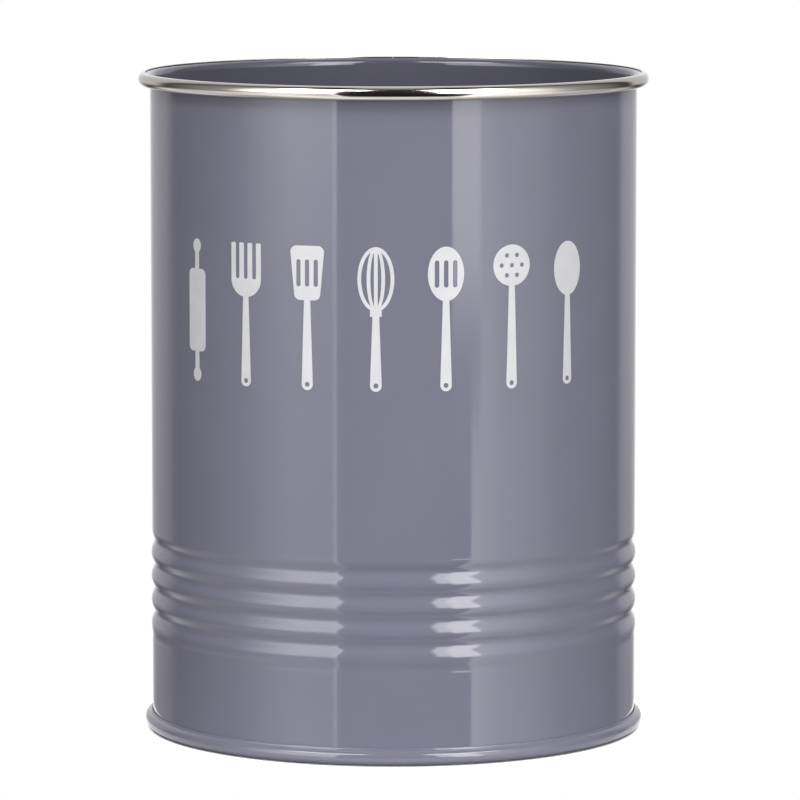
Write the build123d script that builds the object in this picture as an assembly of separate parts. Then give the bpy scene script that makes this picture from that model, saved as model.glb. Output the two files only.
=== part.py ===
from build123d import *
from math import cos, degrees, radians, sin
import os

# Utensil crock of rolled sheet steel. A painted body with four ribs near its foot is hooked
# into a painted base end by a double seam, a bright trim ring is pressed over its curled mouth,
# and a row of kitchen tools is printed on its front.
# Millimetres, +Z up. The origin is at the middle of the foot, and the front faces -Y.

# Body
body_diameter = 120.0
overall_height = 162.6
gauge = 0.5
fit_gap = 0.05

# Ribs, counted from the top one down
rib_count = 4
rib_pitch = 5.9
top_rib_height = 43.4
rib_crest = 0.2
groove_depth = 0.55
groove_lead = 2.75
last_groove_depth = 0.03
last_groove_lead = 1.2
upper_flank_share = 0.52
crest_arc_share = 0.6

# Side weld, up the back of the body
weld_width = 1.2
weld_proud = 0.12

# Mouth: the trim's round section, and the angle from its outermost point to its lip's edge
trim_round = 1.7
trim_gauge = 0.3
trim_lip_gap = 0.1
trim_lip_turn = 130.0
trim_slit = 0.15

# Double seam at the foot, with the narrow lip that stands above its roll
tight_bend = 0.1
hook_room = 0.3
seam_straight = 0.2
seam_lip = 0.5

# Base panel, raised inside the foot, with one shallow step
panel_height = 4.0
panel_bend = 1.0
panel_step = 0.6
panel_step_run = 1.6
panel_step_inset = 7.15
panel_step_round = 0.8

# Front print
print_foot_height = 90.0
print_tall = 34.5
print_left_angle = -52.0
print_right_angle = 44.0
ink = 0.08
head_tall = 13.0
head_wide = 8.8
grip_wide = 2.8
neck_wide = 1.5
stroke = 0.9
slot_wide = 1.1
hang_hole = 1.2
pin_wide = 6.4
pin_tall = 20.0
knob_wide = 3.4
collar_tall = 2.4
turner_foot_share = 0.72

# How far a tool's flat outline is carried through the wall's curve, each way
print_depth = (head_wide / 2) ** 2 / body_diameter + gauge

# Wall faces
body_radius = body_diameter / 2
inner_radius = body_radius - gauge

# Heights where the ribbed stretch turns
upper_flank = rib_pitch * upper_flank_share
lower_flank = rib_pitch - upper_flank
lowest_crest = top_rib_height - (rib_count - 1) * rib_pitch
ribs_high = top_rib_height + upper_flank + groove_lead
ribs_low = lowest_crest - lower_flank - last_groove_lead

# Mouth
curl_radius = trim_round - trim_gauge - fit_gap
rim_radius = body_radius + trim_lip_gap - trim_round * cos(radians(trim_lip_turn))
rim_height = overall_height - trim_round
flare_radius = rim_radius - inner_radius
flare_height = rim_height + curl_radius - flare_radius

# Double seam, from the foot up: base sheet, body flange, body hook and cover hook
flange_top = gauge + fit_gap + gauge
hook_inside = fit_gap + gauge + hook_room - tight_bend
curl_centre_radius = body_radius + tight_bend
curl_centre_height = flange_top + hook_inside
body_hook_round = hook_inside + gauge
base_round = body_hook_round + fit_gap + gauge
seam_reach = tight_bend + base_round
straight_top = curl_centre_height + seam_straight
cover_corner = gauge / 2
cover_corner_radius = body_radius + fit_gap + cover_corner
cover_round = seam_reach - fit_gap - cover_corner
seam_top = straight_top + cover_round + seam_lip
cover_hook_end = curl_centre_height - (gauge + fit_gap) / 2

# Base panel
chuck_radius = inner_radius - fit_gap
panel_edge = chuck_radius - gauge - panel_bend


def strip(low_radius, high_radius, low_height, high_height):
    """A straight stretch of sheet, in section."""
    middle = Pos((low_radius + high_radius) / 2, (low_height + high_height) / 2)
    return middle * Rectangle(high_radius - low_radius, high_height - low_height)


def bend(centre, outer, thickness, start, turn):
    """A bent stretch of sheet, in section, from its start angle through its turn."""
    outside = CenterArc(centre, outer, start, turn)
    inside = CenterArc(centre, outer - thickness, start, turn)
    return make_face([outside, inside, Line(outside @ 0, inside @ 0), Line(outside @ 1, inside @ 1)])


def rib_turns():
    """Radius and height of each place where the ribbed stretch stands upright, going down."""
    turns = [(body_radius, ribs_high)]
    for number in range(rib_count):
        crest_height = top_rib_height - number * rib_pitch
        turns.append((body_radius - groove_depth, crest_height + upper_flank))
        turns.append((body_radius + rib_crest, crest_height))
    turns.append((body_radius - last_groove_depth, lowest_crest - lower_flank))
    turns.append((body_radius, ribs_low))
    return turns


def flank(upper, lower):
    """Two arcs that lead smoothly from one upright place to the next, the wider at the crest."""
    share = crest_arc_share if upper[0] > lower[0] else 1 - crest_arc_share
    middle = tuple(a + (b - a) * share for a, b in zip(upper, lower))
    return [TangentArc(upper, middle, tangent=(0, -1)), TangentArc(lower, middle, tangent=(0, 1))]


def wall_line(shift, low, high):
    """The wall's outer line going down, ribs and all, moved outwards by shift."""
    turns = [(radius + shift, height) for radius, height in rib_turns()]
    line = [Line((body_radius + shift, high), turns[0])]
    for upper, lower in zip(turns, turns[1:]):
        line += flank(upper, lower)
    line.append(Line(turns[-1], (body_radius + shift, low)))
    return line


def wall_section(thickness, low, high):
    """The wall's section between two heights."""
    outer = wall_line(0, low, high)
    inner = wall_line(-thickness, low, high)
    ends = [Line(outer[0] @ 0, inner[0] @ 0), Line(outer[-1] @ 1, inner[-1] @ 1)]
    return make_face(outer + inner + ends)


def turned(section, turn=360.0):
    """A section turned about the crock's axis, starting from the right-hand side."""
    return revolve(Plane.XZ * section, Axis.Z, turn)


def side_weld(low, high):
    """A low flat bead up the back, where the sheet's two ends are welded together."""
    turn = degrees(weld_width / body_radius)
    section = strip(body_radius - gauge / 2, body_radius + weld_proud, low, high)
    return Rot(Z=90 - turn / 2) * turned(section, turn)


def body_shell():
    """The rolled body: curled mouth, flare, ribbed wall, foot bend and hook, with its weld."""
    rim_centre = (rim_radius, rim_height)
    hook_centre = (curl_centre_radius, curl_centre_height)
    hook_face = curl_centre_radius + body_hook_round
    foot_centre = (curl_centre_radius, flange_top + tight_bend)
    section = wall_section(gauge, flange_top + tight_bend, flare_height)
    section += bend(rim_centre, curl_radius, gauge, 90, -90 - trim_lip_turn)
    section += bend((rim_radius, flare_height), flare_radius, gauge, 90, 90)
    section += bend(foot_centre, gauge + tight_bend, gauge, 180, 90)
    section += bend(hook_centre, body_hook_round, gauge, -90, 90)
    section += strip(hook_face - gauge, hook_face, curl_centre_height, straight_top)
    upper_weld = side_weld(ribs_high + weld_width, rim_height - trim_round - weld_width)
    lower_weld = side_weld(seam_top + weld_width, ribs_low - weld_width)
    return turned(section) + upper_weld + lower_weld


def panel_section():
    """Half of the raised panel, with its step up to the middle."""
    step_end = panel_edge - panel_step_inset
    step_start = step_end - panel_step_run
    middle_height = panel_height + panel_step
    faces = []
    for rise in (0, gauge):
        points = [(0, middle_height + rise), (step_start, middle_height + rise)]
        points += [(step_end, panel_height + rise), (panel_edge, panel_height + rise)]
        faces.append(FilletPolyline(*points, radius=panel_step_round))
    under, upper = faces
    return make_face([under, upper, Line(under @ 0, upper @ 0), Line(under @ 1, upper @ 1)])


def base_end():
    """The base: raised panel, upright wall, foot, and the seam's outside with its inner hook."""
    section = panel_section()
    panel_bend_height = panel_height - panel_bend
    section += bend((panel_edge, panel_bend_height), panel_bend + gauge, gauge, 0, 90)
    foot_start = chuck_radius + tight_bend
    section += strip(chuck_radius - gauge, chuck_radius, gauge + tight_bend, panel_bend_height)
    section += bend((foot_start, gauge + tight_bend), gauge + tight_bend, gauge, 180, 90)
    section += strip(foot_start, curl_centre_radius, 0, gauge)
    section += bend((curl_centre_radius, curl_centre_height), base_round, gauge, -90, 90)
    seam_face = body_radius + seam_reach
    section += strip(seam_face - gauge, seam_face, curl_centre_height, straight_top)
    section += bend((cover_corner_radius, straight_top), cover_round, gauge, 0, 90)
    section += Pos(cover_corner_radius, seam_top - cover_corner) * Circle(cover_corner)
    hook_face = body_radius + fit_gap
    section += strip(hook_face, hook_face + gauge, cover_hook_end, seam_top - cover_corner)
    return turned(section)


def rim_trim():
    """The bright ring, a strip rolled over the curl, whose ends meet at the back."""
    section = bend((rim_radius, rim_height), trim_round, trim_gauge, 90, -90 - trim_lip_turn)
    section = fillet(section.vertices(), trim_gauge / 3)
    slit = degrees(trim_slit / rim_radius)
    return Rot(Z=90 + slit / 2) * turned(section, 360 - slit)


def handle(head_low):
    """A tool's handle: a rounded grip with its hanging hole, tapering up into the head."""
    side = grip_wide / 2
    neck = neck_wide / 2
    neck_end = head_low + neck_wide
    corners = [(-side, side), (side, side), (neck, neck_end), (-neck, neck_end)]
    shaft = make_face(Polyline(*corners, close=True))
    return shaft + Pos(0, side) * Circle(side) - Pos(0, side) * Circle(hang_hole / 2)


def slots(count, length, height, spacing=2 * slot_wide):
    """Upright slots, side by side, centred at a height."""
    row = Pos(0, height) * GridLocations(spacing, 0, count, 1)
    return Sketch() + [place * SlotOverall(length, slot_wide, 90) for place in row]


def spoon():
    """A plain spoon, seen from the front."""
    bowl = Pos(0, print_tall - head_tall / 2) * Ellipse(head_wide / 2, head_tall / 2)
    return handle(print_tall - head_tall) + bowl


def slotted_spoon():
    """A spoon with three slots in its bowl."""
    return spoon() - slots(3, head_tall / 2, print_tall - head_tall / 2)


def fork():
    """A serving fork with four tines."""
    palm_tall = head_tall / 3
    palm_top = print_tall - head_tall + palm_tall
    palm = Pos(0, palm_top) * Ellipse(head_wide / 2, palm_tall)
    palm -= strip(-head_wide, head_wide, palm_top, print_tall)
    tines = strip(-head_wide / 2, head_wide / 2, palm_top, print_tall)
    gap_spacing = (head_wide + slot_wide) / 4
    head = palm + tines - slots(3, 2 * (head_tall - palm_tall), print_tall, gap_spacing)
    tips = head.vertices().group_by(Axis.Y)[-1]
    return handle(print_tall - head_tall) + fillet(tips, stroke / 3)


def turner():
    """A turner with a flared, slotted blade."""
    low = print_tall - head_tall
    top = head_wide / 2
    foot = top * turner_foot_share
    corners = [(-foot, low), (foot, low), (top, print_tall), (-top, print_tall)]
    blade = fillet(make_face(Polyline(*corners, close=True)).vertices(), neck_wide)
    return handle(low) + blade - slots(3, head_tall / 2, print_tall - head_tall / 2)


def whisk():
    """A balloon whisk: two wire loops and a straight wire, on a collar and a grip."""
    wires_tall = head_tall + collar_tall
    middle = Pos(0, print_tall - wires_tall / 2)
    wires = Sketch()
    for width in (head_wide, head_wide / 2):
        loop = Ellipse(width / 2, wires_tall / 2) - Ellipse(width / 2 - stroke, wires_tall / 2 - stroke)
        wires += middle * loop
    wires += middle * Rectangle(stroke, wires_tall - stroke)
    collar_low = print_tall - wires_tall - collar_tall / 2
    collar = strip(-grip_wide / 2, grip_wide / 2, collar_low, collar_low + collar_tall)
    return handle(collar_low) + collar + wires


def skimmer():
    """A round skimmer, with a ring of holes about a middle one."""
    disc_radius = (head_wide + slot_wide) / 2
    centre = Pos(0, print_tall - disc_radius)
    ring = PolarLocations(disc_radius - slot_wide * 2, 6)
    holes = Circle(slot_wide / 2) + [place * Circle(slot_wide / 2) for place in ring]
    return handle(print_tall - 2 * disc_radius) + centre * Circle(disc_radius) - centre * holes


def rolling_pin():
    """A rolling pin on end: roller, two necks and two knobs."""
    middle = Pos(0, print_tall / 2)
    roller = middle * fillet(Rectangle(pin_wide, pin_tall).vertices(), neck_wide)
    spindle = middle * Rectangle(neck_wide, print_tall - knob_wide)
    pin = roller + spindle
    for height in (knob_wide / 2, print_tall - knob_wide / 2):
        pin += Pos(0, height) * Ellipse(knob_wide / 2 - stroke / 4, knob_wide / 2)
    return pin


def front_print():
    """The printed row: each tool laid on the wall as a thin coat of ink."""
    tools = [rolling_pin, fork, turner, whisk, slotted_spoon, skimmer, spoon]
    coat_tall = print_tall + 2 * print_depth
    coat = Cylinder(body_radius + ink, coat_tall) - Cylinder(body_radius, coat_tall)
    coat = Pos(0, 0, print_foot_height + print_tall / 2) * coat
    step = (print_right_angle - print_left_angle) / (len(tools) - 1)
    printed = []
    for number, tool in enumerate(tools):
        angle = radians(print_left_angle + number * step)
        outwards = Vector(sin(angle), -cos(angle), 0)
        sideways = Vector(cos(angle), sin(angle), 0)
        foot = outwards * body_radius + Vector(0, 0, print_foot_height)
        tangent = Plane(foot, sideways, outwards)
        printed += (extrude(tangent * tool(), print_depth, both=True) & coat).solids()
    return Compound(printed)


os.makedirs("parts", exist_ok=True)
for piece in (body_shell, base_end, rim_trim, front_print):
    export_step(piece(), f"parts/{piece.__name__}.step")
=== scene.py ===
from math import cos, degrees, pi, radians, sin

import bpy
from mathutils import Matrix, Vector


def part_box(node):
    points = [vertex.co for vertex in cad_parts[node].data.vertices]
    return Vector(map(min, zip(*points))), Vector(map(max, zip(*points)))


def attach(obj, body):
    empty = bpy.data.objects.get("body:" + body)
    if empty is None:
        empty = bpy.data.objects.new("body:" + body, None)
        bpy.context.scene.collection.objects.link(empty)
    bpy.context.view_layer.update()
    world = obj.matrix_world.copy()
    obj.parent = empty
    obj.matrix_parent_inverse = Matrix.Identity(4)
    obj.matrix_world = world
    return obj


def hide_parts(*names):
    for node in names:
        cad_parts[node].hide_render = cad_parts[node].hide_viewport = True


# A utensil crock of painted sheet steel with a bright rim, on a pale floor under studio light.
# Metres and degrees, +Z up, the printed front towards -Y.

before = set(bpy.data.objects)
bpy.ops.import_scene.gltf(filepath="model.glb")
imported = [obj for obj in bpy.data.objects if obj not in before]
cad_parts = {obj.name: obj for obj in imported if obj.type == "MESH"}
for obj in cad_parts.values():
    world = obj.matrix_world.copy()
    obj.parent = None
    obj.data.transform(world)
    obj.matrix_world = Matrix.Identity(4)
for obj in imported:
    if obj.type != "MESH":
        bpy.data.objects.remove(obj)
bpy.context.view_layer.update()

# Sheet and seam sizes
GAUGE = 0.0005
FIT_GAP = 0.00005
TIGHT_BEND = 0.0001
HOOK_ROOM = 0.0003
SEAM_STRAIGHT = 0.0002
SEAM_LIP = 0.0005
COVER_TURN = 80.0
COVER_INSIDE_TURN = 76.0

# Ribs, counted from the top one down
RIB_COUNT = 4
RIB_PITCH = 0.0059
TOP_RIB_HEIGHT = 0.0434
RIB_CREST = 0.0002
GROOVE_DEPTH = 0.00055
GROOVE_LEAD = 0.00275
GROOVE_LIP = 0.00001
GROOVE_LIP_LEAD = 0.0005
LAST_GROOVE_DEPTH = 0.00003
LAST_GROOVE_LEAD = 0.0012
UPPER_FLANK_SHARE = 0.52
CREST_ARC_SHARE = 0.6

# Side weld, up the back: a bead sunk in the wall, with WELD_PROUD of it standing out. Its ends are
# the faces that look nearly straight up or down, past WELD_END_FACING.
WELD_WIDTH = 0.0012
WELD_PROUD = 0.0001
WELD_THICKNESS = 4 * WELD_PROUD
WELD_SIDES = 16
WELD_END_SHARES = (0.9, 0.75, 0.5)
WELD_END_FACING = 0.9

# Bright trim over the curled mouth
TRIM_ROUND = 0.0017
TRIM_GAUGE = 0.0003
TRIM_EDGE = 0.0001
TRIM_EDGE_TURN = 8.0
TRIM_LIP_GAP = 0.0001
TRIM_LIP_TURN = 130.0
TRIM_SLIT = 0.00015

# Base panel
PANEL_HEIGHT = 0.004
PANEL_BEND = 0.001
PANEL_STEP = 0.0006
PANEL_STEP_RUN = 0.0016
PANEL_STEP_INSET = 0.00715
PANEL_STEP_CUTS = 6

# How finely turned pieces are cut, round the axis, round a bend and down half a rib's flank
STEPS_ROUND = 288
BEND_STEP = 12.0
FINE_BEND_STEP = 3.5
BEND_HOLD = 0.0002
FLANK_CUTS = 5
INNER_FLANK_CUTS = 3
SMOOTH_ANGLE = radians(35)
MERGE = 0.000002

# Sizes that follow from the frame and from the ones above
SEAM_REACH = 3 * GAUGE + 2 * FIT_GAP + HOOK_ROOM
BODY_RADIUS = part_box("base_end")[1].x - SEAM_REACH
INNER_RADIUS = BODY_RADIUS - GAUGE
CURL_ROUND = TRIM_ROUND - TRIM_GAUGE - FIT_GAP
RIM_RADIUS = BODY_RADIUS + TRIM_LIP_GAP - TRIM_ROUND * cos(radians(TRIM_LIP_TURN))
RIM_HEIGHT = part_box("rim_trim")[1].z - TRIM_ROUND
FLARE_ROUND = RIM_RADIUS - INNER_RADIUS
FLARE_HEIGHT = RIM_HEIGHT + CURL_ROUND - FLARE_ROUND
FLANGE_TOP = 2 * GAUGE + FIT_GAP
HOOK_INSIDE = FIT_GAP + GAUGE + HOOK_ROOM - TIGHT_BEND
HOOK_RADIUS = BODY_RADIUS + TIGHT_BEND
HOOK_HEIGHT = FLANGE_TOP + HOOK_INSIDE
HOOK_ROUND = HOOK_INSIDE + GAUGE
BASE_ROUND = HOOK_ROUND + FIT_GAP + GAUGE
STRAIGHT_TOP = HOOK_HEIGHT + SEAM_STRAIGHT
CORNER = GAUGE / 2
CORNER_RADIUS = BODY_RADIUS + FIT_GAP + CORNER
COVER_ROUND = SEAM_REACH - FIT_GAP - CORNER
SEAM_TOP = STRAIGHT_TOP + COVER_ROUND + SEAM_LIP
COVER_HOOK_END = HOOK_HEIGHT - (GAUGE + FIT_GAP) / 2
CHUCK_RADIUS = INNER_RADIUS - FIT_GAP
PANEL_EDGE = CHUCK_RADIUS - GAUGE - PANEL_BEND
RIBS_LOW = TOP_RIB_HEIGHT - RIB_COUNT * RIB_PITCH - LAST_GROOVE_LEAD
RIBS_HIGH = TOP_RIB_HEIGHT + RIB_PITCH + GROOVE_LEAD

# Patterns in the finishes. Each has the size of its grain, and how many levels of finer grain it has.
COAT_CLOUDS = (0.018, 3)
COAT_PEEL = (0.0014, 1)
COAT_RUBS = (0.006, 5)
STEEL_LINES = (0.00012, 2)
STEEL_STAINS = (0.007, 4)
INK_PATCHES = (0.004, 4)
INK_GLOSS = (0.004, 2)
INK_MESH = (0.0003, 1)
NOISE_RANGE = (0.25, 0.75)

# Stoved paint
OUTER_COAT = (0.187, 0.184, 0.241, 1)
OUTER_THIN = (0.178, 0.175, 0.229, 1)
# Painted shade: inside the crock the same paint is given these darker colours.
INNER_COAT_PAINTED_SHADE = (0.092, 0.091, 0.118, 1)
INNER_THIN_PAINTED_SHADE = (0.085, 0.084, 0.109, 1)
COAT_ROUGHNESS = (0.05, 0.09)
COAT_PEEL_DEPTH = 0.0000012
COAT_IOR = 1.5

# Stainless strip
STEEL = (0.65, 0.61, 0.57, 1)
STEEL_DULL = (0.60, 0.565, 0.53, 1)
STEEL_ROUGHNESS = 0.07
STEEL_LINES_ROUGHNESS = 0.04
STEEL_STAINS_ROUGHNESS = 0.05
STEEL_LINES_LENGTH = 0.03
STEEL_LINES_DEPTH = 0.0000004

# Screen ink
INK = (0.72, 0.72, 0.74, 1)
INK_THIN = (0.66, 0.66, 0.69, 1)
INK_ROUGHNESS = (0.32, 0.44)
INK_DEPTH = 0.000003

# Camera, at the height and distance that give the photograph's outline. The sensor is in millimetres.
CAMERA_BACK = 1.3833
CAMERA_UP = 0.2456
CAMERA_DOWN = 6.789
SENSOR_WIDTH = 36.0
FOCAL_PIXELS = 5613.0
FRAME_PIXELS = 800
AXIS_PIXEL = 393.5

# The studio round the crock: each light's left and right, its bottom and top, and its brightness.
# Degrees, sideways from straight in front with the right as plus, and up from level. Each edge is
# soft. From its first place to its second the light comes up at its left and bottom, and goes out at
# its right and top.
NO_LEFT = (-999, -998)
NO_RIGHT = (998, 999)
NO_BOTTOM = (-99, -95)
NO_TOP = (98, 99)
BOX_FOOT = (-60, -40)
BOX_TOP = (40, 52)
LIGHTS = (
    ("left box", (-86, -44), (-26.7, -26.3), (-7.3, 1), BOX_TOP, 3.5),
    ("left box, low part", (-86, -44), (-26.7, -26.3), BOX_FOOT, BOX_TOP, 0.85),
    ("left box, bright edge", (-28.7, -27.9), (-26.7, -26.3), BOX_FOOT, BOX_TOP, 1.25),
    ("left box, top", (-70, -62), (-17, -14), (43, 46), (56, 62), 10.0),
    ("left wall", (-140, -80), (-50, -30), NO_BOTTOM, (50, 76), 0.35),
    ("right strip", (27.3, 27.7), (41.0, 41.6), (-6.4, -5.2), BOX_TOP, 4.0),
    ("right strip, upper part", (27.3, 27.7), (41.0, 41.6), (-4.5, 2), BOX_TOP, 4.8),
    ("right strip, inner part", (19.5, 21), (27.3, 27.7), (0, 8), BOX_TOP, 6.2),
    ("right box", (41, 41.6), (48, 94), BOX_FOOT, BOX_TOP, 1.5),
    ("right box, inner edge", (41, 41.6), (42, 54), BOX_FOOT, BOX_TOP, 0.7),
    ("right box, foot", (36.6, 37.2), (41, 41.6), BOX_FOOT, (-7.3, -6.6), 2.6),
    ("right box, upper part", (41, 41.6), (45, 85), (-4, 4), BOX_TOP, 0.8),
    ("right box, top", (17, 20), (62, 70), (43, 46), (56, 62), 10.0),
    ("right wall", (50, 80), (85, 140), NO_BOTTOM, (50, 76), 0.4),
    ("backdrop, left end", NO_LEFT, (-138, -122), (-17, -3), (60, 75), 0.62),
    ("backdrop, right end", (130, 141), NO_RIGHT, (-17, -3), (60, 75), 0.63),
    ("backdrop, foot on the left", NO_LEFT, (-138, -122), NO_BOTTOM, (-24, -14), 0.4),
    ("backdrop, foot on the right", (125, 141), NO_RIGHT, NO_BOTTOM, (-24, -14), 0.4),
    ("overhead", NO_LEFT, NO_RIGHT, (76, 86), NO_TOP, 0.8),
    ("paper below", NO_LEFT, NO_RIGHT, NO_BOTTOM, (-56, -42), 0.3),
    ("paper below, in front", (-95, -60), (50, 85), NO_BOTTOM, (-56, -42), 0.75),
    ("paper on the left", (-150, -140), (-66, -46), (-56, -42), (-24, -12), 0.6),
    ("paper on the right", (52, 72), (140, 150), (-56, -42), (-24, -12), 0.4),
    ("dim room", NO_LEFT, NO_RIGHT, NO_BOTTOM, NO_TOP, 0.015),
)

# The white backdrop's soft edges, for gloss: how far round to either side it starts, and its top
BACKDROP_SIDE = (158, 178)
BACKDROP_TOP = (60, 75)

# Share of the lights that a ray sees once it has bounced off a plain surface. The light that Cycles
# samples directly isn't weakened by it.
PLAIN_LEVEL = 0.22

# Lamps: name, degrees round from the front, degrees up, distance and width in metres, watts
LAMPS = (
    ("back light", 180, 30, 1.6, 1.2, 26),
    ("front light", 3, 3, 1.8, 1.0, 6.1),
)

# Floor, with the distances from the middle between which its painted shadow round under the crock ends,
# where the floor's glow is left out
FLOOR_ROUND = 0.071
FLOOR_SIDES = 128
FLOOR_GREY = (0.5, 0.5, 0.5, 1)
FLOOR_PAINTED_SHADOW = (0.0604, 0.0617)
FLOOR_PAINTED_SHADOW_MIDDLE = (0, -0.0012, 0)
FLOOR_GLOW = 0.85


def arc(centre, radius, start, end, step=BEND_STEP):
    """Points of a section along an arc, from one angle to another in degrees, both ends in."""
    count = max(2, round(abs(end - start) / step))
    angles = [radians(start + (end - start) * i / count) for i in range(count + 1)]
    return [(centre[0] + radius * cos(a), centre[1] + radius * sin(a)) for a in angles]


def flank(upper, lower, cuts):
    """Points from one place where the wall stands upright down to the next, the first left out."""
    points = []
    share = CREST_ARC_SHARE if upper[0] > lower[0] else 1 - CREST_ARC_SHARE
    depth = lower[0] - upper[0]
    drop = upper[1] - lower[1]
    for i in range(1, 2 * cuts + 1):
        t = i / (2 * cuts)
        if t <= share:
            moved = t * t / share
        else:
            moved = 1 - (1 - t) ** 2 / (1 - share)
        points.append((upper[0] + depth * moved, upper[1] - drop * t))
    return points


def wall_line(shift, cuts):
    """The wall's outer face from the flare down past the ribs to the foot, moved outwards by shift."""
    upper_flank = RIB_PITCH * UPPER_FLANK_SHARE
    lowest = TOP_RIB_HEIGHT - (RIB_COUNT - 1) * RIB_PITCH
    last_groove = lowest - RIB_PITCH + upper_flank
    lip = TOP_RIB_HEIGHT + upper_flank + GROOVE_LEAD
    turns = [(BODY_RADIUS, lip + GROOVE_LIP_LEAD), (BODY_RADIUS + GROOVE_LIP, lip)]
    for number in range(RIB_COUNT):
        crest = TOP_RIB_HEIGHT - number * RIB_PITCH
        turns.append((BODY_RADIUS - GROOVE_DEPTH, crest + upper_flank))
        turns.append((BODY_RADIUS + RIB_CREST, crest))
    turns.append((BODY_RADIUS - LAST_GROOVE_DEPTH, last_groove))
    turns.append((BODY_RADIUS, last_groove - LAST_GROOVE_LEAD))
    turns = [(radius + shift, height) for radius, height in turns]
    line = [(turns[0][0], FLARE_HEIGHT - BEND_HOLD), (turns[0][0], turns[0][1] + BEND_HOLD), turns[0]]
    for upper, lower in zip(turns, turns[1:]):
        line += flank(upper, lower, cuts)
    line.append((turns[-1][0], turns[-1][1] - BEND_HOLD))
    line.append((turns[-1][0], FLANGE_TOP + 2 * GAUGE))
    return line


def body_section():
    """The body's sheet: up the curl, over the flare, down inside, round the hook and back up."""
    rim = (RIM_RADIUS, RIM_HEIGHT)
    flare = (RIM_RADIUS, FLARE_HEIGHT)
    foot = (HOOK_RADIUS, FLANGE_TOP + TIGHT_BEND)
    hook = (HOOK_RADIUS, HOOK_HEIGHT)
    section = arc(rim, CURL_ROUND, -TRIM_LIP_TURN, 90)
    section += arc(flare, FLARE_ROUND, 90, 180, FINE_BEND_STEP)[1:]
    section += wall_line(-GAUGE, INNER_FLANK_CUTS)
    section += arc(foot, GAUGE + TIGHT_BEND, 180, 270)
    section += arc(hook, HOOK_ROUND, -90, 0)[1:]
    section += [(HOOK_RADIUS + HOOK_ROUND, STRAIGHT_TOP), (HOOK_RADIUS + HOOK_INSIDE, STRAIGHT_TOP)]
    section += arc(hook, HOOK_INSIDE, 0, -90)
    section += arc(foot, TIGHT_BEND, 270, 180)[1:]
    section += wall_line(0, FLANK_CUTS)[::-1]
    section += arc(flare, FLARE_ROUND - GAUGE, 180, 90)
    section += arc(rim, CURL_ROUND - GAUGE, 90, -TRIM_LIP_TURN)[1:]
    return section


def panel_line(rise):
    """The base panel's line from the middle out, with its step, lifted by rise."""
    outer = PANEL_EDGE - PANEL_STEP_INSET
    inner = outer - PANEL_STEP_RUN
    middle = PANEL_HEIGHT + PANEL_STEP + rise
    line = [(0, middle), (inner / 2, middle), (inner - PANEL_STEP_RUN, middle)]
    for i in range(PANEL_STEP_CUTS + 1):
        t = i / PANEL_STEP_CUTS
        line.append((inner + PANEL_STEP_RUN * t, middle - PANEL_STEP * t * t * (3 - 2 * t)))
    line.append((outer + PANEL_STEP_RUN, PANEL_HEIGHT + rise))
    return line


def seam_lip():
    """The lip above the seam's roll, rounded outside over its whole height and inside only at the top."""
    corner = (CORNER_RADIUS, SEAM_TOP - CORNER)
    taper = SEAM_LIP / CORNER
    outside = arc(corner, CORNER, 0, 90)[:-1]
    points = [(radius, SEAM_TOP - (SEAM_TOP - height) * taper) for radius, height in outside]
    return points + arc(corner, CORNER, 90, 180)


def base_section():
    """The base's sheet, from the panel's middle out under the foot, round the seam and back in."""
    bend = (PANEL_EDGE, PANEL_HEIGHT - PANEL_BEND)
    foot = (CHUCK_RADIUS + TIGHT_BEND, GAUGE + TIGHT_BEND)
    hook = (HOOK_RADIUS, HOOK_HEIGHT)
    cover = (CORNER_RADIUS, STRAIGHT_TOP)
    hook_face = BODY_RADIUS + FIT_GAP
    section = panel_line(0)
    section += arc(bend, PANEL_BEND, 90, 0)
    section += arc(foot, GAUGE + TIGHT_BEND, 180, 270)
    section += arc(hook, BASE_ROUND, -90, 0)
    section += arc(cover, COVER_ROUND, 0, COVER_TURN)
    section += seam_lip()
    section += [(hook_face, COVER_HOOK_END), (hook_face + GAUGE, COVER_HOOK_END)]
    section += arc(cover, COVER_ROUND - GAUGE, COVER_INSIDE_TURN, 0)
    section += arc(hook, BASE_ROUND - GAUGE, 0, -90)
    section += arc(foot, TIGHT_BEND, 270, 180)
    section += arc(bend, PANEL_BEND + GAUGE, 0, 90)
    section += panel_line(GAUGE)[::-1]
    return section


def strip_corner(radius, end, side, start, finish):
    """A softly rounded corner of the bright strip, in section, at one of its two edges."""
    angle = end + side * degrees(TRIM_EDGE / radius)
    centre = arc((RIM_RADIUS, RIM_HEIGHT), radius, angle, angle)[0]
    return arc(centre, TRIM_EDGE, angle + start, angle + finish)


def trim_section():
    """The bright strip's section: a C over the curl, with softly rounded edges."""
    rim = (RIM_RADIUS, RIM_HEIGHT)
    outside = TRIM_ROUND - TRIM_EDGE
    inside = TRIM_ROUND - TRIM_GAUGE + TRIM_EDGE
    top = 90 - TRIM_EDGE_TURN
    foot = TRIM_EDGE_TURN - TRIM_LIP_TURN
    section = strip_corner(inside, 90, -1, 180, 90)
    section += strip_corner(outside, 90, -1, 90, 0)
    section += arc(rim, TRIM_ROUND, top, foot, FINE_BEND_STEP)
    section += strip_corner(outside, -TRIM_LIP_TURN, 1, 0, -90)
    section += strip_corner(inside, -TRIM_LIP_TURN, 1, -90, -180)
    section += arc(rim, TRIM_ROUND - TRIM_GAUGE, foot, top)
    return section


def new_piece(name):
    """Names the primitive that was just added, and takes its place into its mesh."""
    piece = bpy.context.object
    piece.name = name
    piece.data.name = name
    bpy.ops.object.transform_apply()
    return piece


def edit():
    """Edit mode on the active piece, with everything in it selected."""
    bpy.ops.object.mode_set(mode="EDIT")
    bpy.ops.mesh.select_mode(type="VERT")
    bpy.ops.mesh.select_all(action="SELECT")


def merge_doubles():
    """One point where several points of the edited piece lie together."""
    bpy.ops.mesh.select_all(action="SELECT")
    bpy.ops.mesh.remove_doubles(threshold=MERGE)


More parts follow.
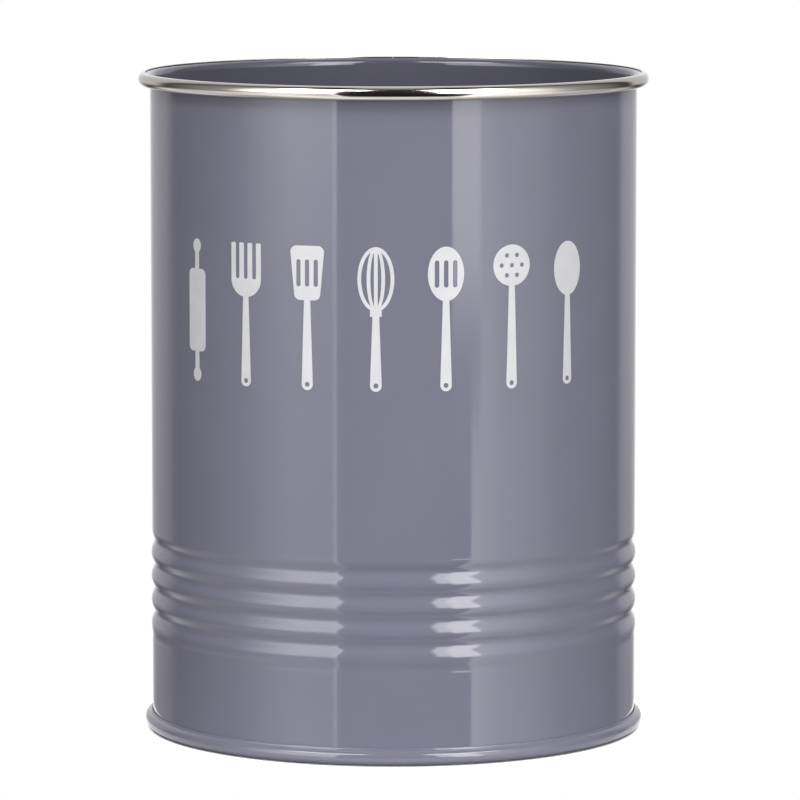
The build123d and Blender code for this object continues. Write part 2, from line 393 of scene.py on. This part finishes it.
def finish_mesh():
    """Faces outwards and smooth shading for the edited piece, which goes back to object mode."""
    bpy.ops.mesh.select_all(action="SELECT")
    bpy.ops.mesh.normals_make_consistent(inside=False)
    bpy.ops.object.mode_set(mode="OBJECT")
    bpy.ops.object.shade_smooth_by_angle(angle=SMOOTH_ANGLE)


def turned_piece(name, section, start=0.0, turn=2 * pi, ring=True):
    """A section drawn by extruding one point along it, then spun about the crock's axis."""
    bpy.ops.object.select_all(action="DESELECT")
    points = [Vector((radius * cos(start), radius * sin(start), height)) for radius, height in section]
    if ring:
        points.append(points[0])
    bpy.ops.mesh.primitive_plane_add(size=GAUGE, location=points[0])
    piece = new_piece(name)
    edit()
    bpy.ops.mesh.merge(type="CENTER")
    for here, there in zip(points, points[1:]):
        bpy.ops.mesh.extrude_region_move(TRANSFORM_OT_translate={"value": there - here})
    merge_doubles()
    bpy.ops.mesh.select_all(action="SELECT")
    bpy.ops.mesh.spin(steps=STEPS_ROUND, angle=turn, center=(0, 0, 0), axis=(0, 0, 1))
    merge_doubles()
    if turn < 2 * pi:
        bpy.ops.mesh.select_all(action="DESELECT")
        bpy.ops.mesh.select_non_manifold(extend=False)
        bpy.ops.mesh.fill_holes(sides=0)
    finish_mesh()
    return piece


def add_body():
    """The painted body with its ribs, curled mouth and hooked foot."""
    body = turned_piece("painted_body", body_section())
    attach(body, "root")
    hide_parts("body_shell")
    return body


def add_base():
    """The painted base, seamed to the body."""
    base = turned_piece("painted_base", base_section(), ring=False)
    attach(base, "root")
    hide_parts("base_end")
    return base


def add_trim():
    """The bright rim trim, open by a hair at the back where its ends meet."""
    slit = TRIM_SLIT / RIM_RADIUS
    trim = turned_piece("bright_trim", trim_section(), start=pi / 2 + slit / 2, turn=2 * pi - slit)
    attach(trim, "root")
    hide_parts("rim_trim")
    return trim


def draw_out_end(weld, side):
    """Draws out and narrows one end of the weld bead, the upper one for side 1, the lower for -1."""
    for face in weld.data.polygons:
        face.select = face.normal.z * side > WELD_END_FACING
    bpy.ops.object.mode_set(mode="EDIT")
    bpy.ops.mesh.select_mode(type="FACE")
    for share in WELD_END_SHARES:
        reach = (0, 0, side * WELD_WIDTH / len(WELD_END_SHARES))
        bpy.ops.mesh.extrude_region_move(TRANSFORM_OT_translate={"value": reach})
        bpy.ops.transform.resize(value=(share, share, 1))
    bpy.ops.object.mode_set(mode="OBJECT")


def add_weld(name, low, high):
    """A low rounded bead up the back of the wall, drawn out and narrowed at both ends."""
    bpy.ops.object.select_all(action="DESELECT")
    middle = Vector((0, BODY_RADIUS - WELD_PROUD, (low + high) / 2))
    bpy.ops.mesh.primitive_cylinder_add(
        vertices=WELD_SIDES, radius=WELD_WIDTH / 2, depth=high - low - 2 * WELD_WIDTH, location=middle
    )
    weld = new_piece(name)
    edit()
    flat = (1, WELD_THICKNESS / WELD_WIDTH, 1)
    bpy.ops.transform.resize(value=flat, center_override=middle)
    bpy.ops.object.mode_set(mode="OBJECT")
    for side in (1, -1):
        draw_out_end(weld, side)
    edit()
    finish_mesh()
    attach(weld, "root")
    return weld


def new_material(name):
    """A node material with its shader, and the two lists that it is wired with."""
    material = bpy.data.materials.new(name)
    material.use_nodes = True
    nodes = material.node_tree.nodes
    return material, nodes, material.node_tree.links, nodes["Principled BSDF"]


def maths(nodes, links, operation, first, second=None):
    """One sum on one or two values, each of them a node's output or a number."""
    node = nodes.new("ShaderNodeMath")
    node.operation = operation
    for socket, value in zip(node.inputs, (first, second)):
        if isinstance(value, (int, float)):
            socket.default_value = value
        elif value is not None:
            links.new(value, socket)
    return node.outputs[0]


def put_together(nodes, links, operation, values):
    """Several values put together by one kind of sum."""
    total = values[0]
    for value in values[1:]:
        total = maths(nodes, links, operation, total, value)
    return total


def to_range(nodes, links, value, source, target, kind="LINEAR"):
    """A value that runs over one range, taken to another range and kept inside it."""
    ramp = nodes.new("ShaderNodeMapRange")
    ramp.interpolation_type = kind
    ramp.inputs["From Min"].default_value, ramp.inputs["From Max"].default_value = source
    ramp.inputs["To Min"].default_value, ramp.inputs["To Max"].default_value = target
    links.new(value, ramp.inputs["Value"])
    return ramp.outputs[0]


def soft_edge(nodes, links, value, edge, falling=False):
    """0 before a soft edge and 1 past it, or the other way round when falling."""
    return to_range(nodes, links, value, edge, (1, 0) if falling else (0, 1), "SMOOTHSTEP")


def grain(nodes, links, place, pattern, target=(0, 1)):
    """Noise of one of the patterns, taken to a range of values."""
    size, detail = pattern
    noise = nodes.new("ShaderNodeTexNoise")
    noise.inputs["Scale"].default_value = 1 / size
    noise.inputs["Detail"].default_value = detail
    links.new(place, noise.inputs["Vector"])
    return to_range(nodes, links, noise.outputs["Fac"], NOISE_RANGE, target)


def relief(nodes, links, shader, height, depth):
    """Fine relief of a given depth, in metres, under a shader's gloss."""
    bump = nodes.new("ShaderNodeBump")
    bump.inputs["Strength"].default_value = 1
    bump.inputs["Distance"].default_value = depth
    links.new(height, bump.inputs["Height"])
    links.new(bump.outputs["Normal"], shader.inputs["Normal"])


def blend(nodes, links, share, first, second):
    """A colour between two, each a colour or a node's output, by a share from 0 to 1."""
    mix = nodes.new("ShaderNodeMix")
    mix.data_type = "RGBA"
    links.new(share, mix.inputs["Factor"])
    for socket, colour in ((mix.inputs[6], first), (mix.inputs[7], second)):
        if isinstance(colour, tuple):
            socket.default_value = colour
        else:
            links.new(colour, socket)
    return mix.outputs[2]


def outward(nodes, links, place):
    """1 on faces that look away from the crock's axis and 0 on all others, which take the painted shade.
    """
    flat = nodes.new("ShaderNodeVectorMath")
    flat.operation = "MULTIPLY"
    flat.inputs[1].default_value = (1, 1, 0)
    links.new(place, flat.inputs[0])
    facing = nodes.new("ShaderNodeVectorMath")
    facing.operation = "DOT_PRODUCT"
    links.new(flat.outputs[0], facing.inputs[0])
    links.new(nodes.new("ShaderNodeNewGeometry").outputs["True Normal"], facing.inputs[1])
    return maths(nodes, links, "GREATER_THAN", facing.outputs["Value"], 0.0)


def enamel():
    """Smooth glossy stoved paint, grey with a violet cast, with painted shade inside the crock: the same
    paint given darker colours there.
    """
    material, nodes, links, paint = new_material("grey_enamel")
    place = nodes.new("ShaderNodeTexCoord").outputs["Object"]
    clouds = grain(nodes, links, place, COAT_CLOUDS)
    outer = blend(nodes, links, clouds, OUTER_COAT, OUTER_THIN)
    # Painted shade: the inside takes the darker colours.
    inner = blend(nodes, links, clouds, INNER_COAT_PAINTED_SHADE, INNER_THIN_PAINTED_SHADE)
    colour = blend(nodes, links, outward(nodes, links, place), inner, outer)
    links.new(colour, paint.inputs["Base Color"])
    links.new(grain(nodes, links, place, COAT_RUBS, COAT_ROUGHNESS), paint.inputs["Roughness"])
    relief(nodes, links, paint, grain(nodes, links, place, COAT_PEEL), COAT_PEEL_DEPTH)
    paint.inputs["IOR"].default_value = COAT_IOR
    return material


def rolled_place(nodes, links, place):
    """A place on the strip as its radius, its height and its way round, the last one much shortened."""
    parts = nodes.new("ShaderNodeSeparateXYZ")
    links.new(place, parts.inputs[0])
    x, y, z = parts.outputs
    radius = maths(nodes, links, "MULTIPLY", x, x)
    radius = maths(nodes, links, "ADD", radius, maths(nodes, links, "MULTIPLY", y, y))
    radius = maths(nodes, links, "SQRT", radius)
    turned = maths(nodes, links, "ARCTAN2", y, x)
    line_width = STEEL_LINES[0]
    along = maths(nodes, links, "MULTIPLY", turned, RIM_RADIUS * line_width / STEEL_LINES_LENGTH)
    rolled = nodes.new("ShaderNodeCombineXYZ")
    for value, socket in zip((radius, z, along), rolled.inputs):
        links.new(value, socket)
    return rolled.outputs[0]


def bright_steel():
    """Bright rolled stainless strip, with fine rolling lines along it and faint dull patches."""
    material, nodes, links, steel = new_material("bright_steel")
    place = nodes.new("ShaderNodeTexCoord").outputs["Object"]
    lines = grain(nodes, links, rolled_place(nodes, links, place), STEEL_LINES)
    stains = grain(nodes, links, place, STEEL_STAINS)
    links.new(blend(nodes, links, stains, STEEL, STEEL_DULL), steel.inputs["Base Color"])
    line_rough = maths(nodes, links, "MULTIPLY", lines, STEEL_LINES_ROUGHNESS)
    stain_rough = maths(nodes, links, "MULTIPLY", stains, STEEL_STAINS_ROUGHNESS)
    rough = put_together(nodes, links, "ADD", [line_rough, stain_rough, STEEL_ROUGHNESS])
    links.new(rough, steel.inputs["Roughness"])
    relief(nodes, links, steel, lines, STEEL_LINES_DEPTH)
    steel.inputs["Metallic"].default_value = 1
    return material


def print_ink():
    """White screen ink, a little thinner in places, with the faint grain of the screen."""
    material, nodes, links, ink = new_material("white_ink")
    place = nodes.new("ShaderNodeTexCoord").outputs["Object"]
    patches = grain(nodes, links, place, INK_PATCHES)
    links.new(blend(nodes, links, patches, INK, INK_THIN), ink.inputs["Base Color"])
    links.new(grain(nodes, links, place, INK_GLOSS, INK_ROUGHNESS), ink.inputs["Roughness"])
    relief(nodes, links, ink, grain(nodes, links, place, INK_MESH), INK_DEPTH)
    return material


def dress(piece, material):
    """Gives a piece its one material."""
    piece.data.materials.clear()
    piece.data.materials.append(material)


def add_camera():
    """The camera, slightly above the crock and looking a little down."""
    lens = bpy.data.cameras.new("camera")
    lens.sensor_width = SENSOR_WIDTH
    lens.lens = FOCAL_PIXELS / FRAME_PIXELS * lens.sensor_width
    lens.shift_x = (FRAME_PIXELS / 2 - AXIS_PIXEL) / FRAME_PIXELS
    camera = bpy.data.objects.new("camera", lens)
    camera.location = (0, -CAMERA_BACK, CAMERA_UP)
    camera.rotation_euler = (radians(90 - CAMERA_DOWN), 0, 0)
    bpy.context.scene.collection.objects.link(camera)
    bpy.context.scene.camera = camera


def seen_angles(nodes, links):
    """How far aside from straight in front, and how far up, the world is looked at."""
    direction = nodes.new("ShaderNodeSeparateXYZ")
    links.new(nodes.new("ShaderNodeTexCoord").outputs["Generated"], direction.inputs[0])
    ahead = maths(nodes, links, "MULTIPLY", direction.outputs["Y"], -1.0)
    aside = maths(nodes, links, "ARCTAN2", direction.outputs["X"], ahead)
    rise = maths(nodes, links, "ARCSINE", direction.outputs["Z"])
    return maths(nodes, links, "DEGREES", aside), maths(nodes, links, "DEGREES", rise)


def studio_lights(nodes, links, aside, up):
    """The brightness of all the lights of the studio together."""
    glows = []
    for name, left, right, bottom, top, level in LIGHTS:
        edges = [
            soft_edge(nodes, links, aside, left),
            soft_edge(nodes, links, aside, right, falling=True),
            soft_edge(nodes, links, up, bottom),
            soft_edge(nodes, links, up, top, falling=True),
        ]
        glow = put_together(nodes, links, "MULTIPLY", edges + [level])
        glow.node.label = name
        glows.append(glow)
    return put_together(nodes, links, "ADD", glows)


def sees_white(nodes, links, aside, up, path):
    """1 for camera and glass rays anywhere and for gloss behind the crock, with soft edges, else 0."""
    behind = soft_edge(nodes, links, maths(nodes, links, "ABSOLUTE", aside), BACKDROP_SIDE)
    below_top = soft_edge(nodes, links, up, BACKDROP_TOP, falling=True)
    gloss = put_together(nodes, links, "MULTIPLY", [behind, below_top, path["Is Glossy Ray"]])
    seen = [path["Is Camera Ray"], gloss, path["Is Transmission Ray"]]
    return put_together(nodes, links, "MAXIMUM", seen)


def set_world():
    """The studio's lights, and the white backdrop that camera, gloss and glass see."""
    world = bpy.data.worlds.new("studio")
    bpy.context.scene.world = world
    world.use_nodes = True
    nodes, links = world.node_tree.nodes, world.node_tree.links
    path = nodes.new("ShaderNodeLightPath").outputs
    aside, up = seen_angles(nodes, links)
    plain = to_range(nodes, links, path["Is Diffuse Ray"], (0, 1), (1, PLAIN_LEVEL))
    lights = maths(nodes, links, "MULTIPLY", studio_lights(nodes, links, aside, up), plain)
    white = nodes.new("ShaderNodeMix")
    links.new(sees_white(nodes, links, aside, up, path), white.inputs[0])
    links.new(lights, white.inputs[2])
    white.inputs[3].default_value = 1
    links.new(white.outputs[0], nodes["Background"].inputs["Strength"])
    nodes["Background"].inputs["Color"].default_value = (1, 1, 1, 1)


def white_paper():
    """White paper, which glows for camera, gloss and glass but not in the painted shadow round under the
    crock.
    """
    material, nodes, links, paper = new_material("white_paper")
    paper.inputs["Base Color"].default_value = FLOOR_GREY
    paper.inputs["Roughness"].default_value = 1
    paper.inputs["Specular IOR Level"].default_value = 0
    paper.inputs["Emission Color"].default_value = (1, 1, 1, 1)
    path = nodes.new("ShaderNodeLightPath").outputs
    seen = [path["Is Camera Ray"], path["Is Glossy Ray"], path["Is Transmission Ray"]]
    away = nodes.new("ShaderNodeVectorMath")
    away.operation = "DISTANCE"
    away.inputs[1].default_value = FLOOR_PAINTED_SHADOW_MIDDLE
    links.new(nodes.new("ShaderNodeTexCoord").outputs["Object"], away.inputs[0])
    # Painted shadow: the glow fades out near the foot, round a middle moved a little to the front.
    clear = soft_edge(nodes, links, away.outputs["Value"], FLOOR_PAINTED_SHADOW)
    seen = put_together(nodes, links, "MAXIMUM", seen)
    glow = put_together(nodes, links, "MULTIPLY", [seen, clear, FLOOR_GLOW])
    links.new(glow, paper.inputs["Emission Strength"])
    return material


def add_floor():
    """A plain white round of floor with a painted shadow right under the crock, whose lit part also keeps
    the crock's real shadow.
    """
    bpy.ops.object.select_all(action="DESELECT")
    bpy.ops.mesh.primitive_circle_add(vertices=FLOOR_SIDES, radius=FLOOR_ROUND, fill_type="NGON")
    floor = bpy.context.object
    floor.name = "floor"
    floor.data.materials.append(white_paper())


def add_lamp(name, azimuth, elevation, distance, size, power):
    """A square soft lamp aimed at the crock, which gloss doesn't show. Azimuth 0 is in front."""
    lamp = bpy.data.lights.new(name, "AREA")
    lamp.size = size
    lamp.energy = power
    holder = bpy.data.objects.new(name, lamp)
    a, e = radians(azimuth), radians(elevation)
    away = Vector((sin(a) * cos(e), -cos(a) * cos(e), sin(e)))
    holder.location = Vector((0, 0, RIM_HEIGHT / 2)) + away * distance
    holder.rotation_euler = away.to_track_quat("Z", "Y").to_euler()
    holder.visible_glossy = False
    bpy.context.scene.collection.objects.link(holder)


# The crock
body = add_body()
base = add_base()
trim = add_trim()
weld_upper = add_weld("side_weld_upper", RIBS_HIGH, RIM_HEIGHT - TRIM_ROUND - WELD_WIDTH)
weld_lower = add_weld("side_weld_lower", SEAM_TOP + WELD_WIDTH, RIBS_LOW)
paint = enamel()
for painted in (body, base, weld_upper, weld_lower):
    dress(painted, paint)
dress(trim, bright_steel())
dress(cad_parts["front_print"], print_ink())

# The studio
add_camera()
set_world()
add_floor()
for lamp in LAMPS:
    add_lamp(*lamp)
bpy.context.scene.view_settings.view_transform = "Standard"
